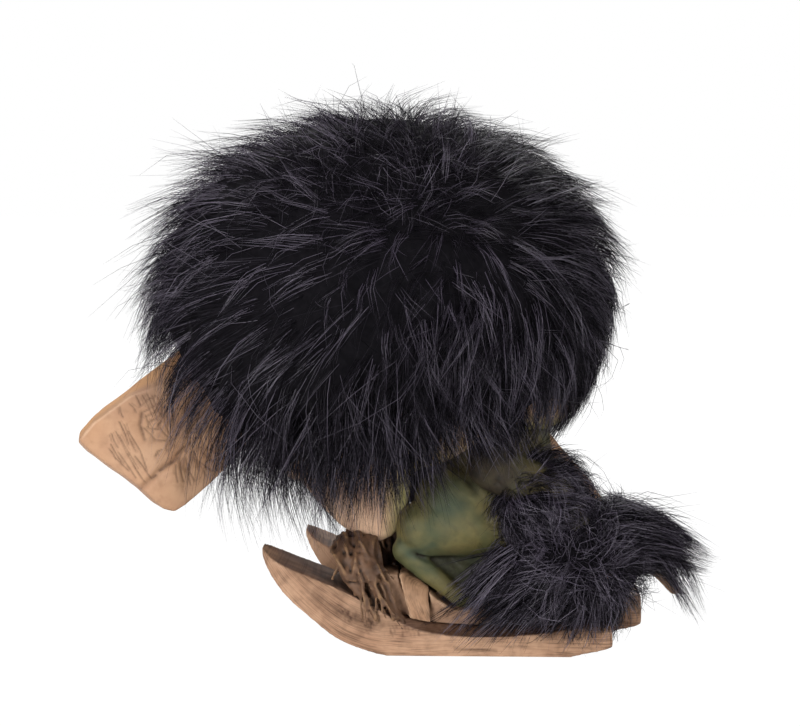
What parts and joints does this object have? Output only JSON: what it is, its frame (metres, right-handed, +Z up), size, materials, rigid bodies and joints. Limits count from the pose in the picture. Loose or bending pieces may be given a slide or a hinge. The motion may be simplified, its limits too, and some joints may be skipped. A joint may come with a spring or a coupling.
{
  "type": "norwegian troll figure",
  "caption": "Squatting troll ornament in a ski jumper's tuck on upturned skis, with a ball of shaggy fur, a long nose and a tufted tail",
  "frame": {"origin": "centre of the bounding box at floor level, between the skis, where the soles of the skis rest", "axes": "+Z up, -Y is the way the troll and the ski tips face, +X is the troll's left side"},
  "size_m": [0.106, 0.1621, 0.1365],
  "materials": {
    "ski_stone": "matt painted cast stone",
    "skin_stone": "matt painted cast stone",
    "cloth_stone": "matt painted cast stone",
    "binding_stone": "matt painted cast stone",
    "skin_resin": "matt painted resin with a brown wash",
    "eye_glass": "polished",
    "hide": "matt",
    "fur": "long shaggy pile",
    "peg_wood": "plain"
  },
  "bodies": {
    "root": {"left_ski": "ski_stone", "right_ski": "ski_stone", "left_foot": "skin_stone", "right_foot": "skin_stone", "left_toe_strap": "binding_stone", "right_toe_strap": "binding_stone", "left_root_binding": "binding_stone", "right_root_binding": "binding_stone", "left_leg": "cloth_stone", "right_leg": "cloth_stone", "body": "cloth_stone", "left_arm": "cloth_stone", "right_arm": "cloth_stone", "left_hand": "skin_stone", "right_hand": "skin_stone", "head": "skin_resin", "left_eye": "eye_glass", "right_eye": "eye_glass", "hide_cap": "hide", "head_fur": "fur", "tail": "skin_resin", "tail_tuft": "fur", "hip_dowel": "peg_wood", "shoulder_dowel": "peg_wood", "foot_pegs": "peg_wood", "ankle_pegs": "peg_wood"}
  },
  "joints": []
}
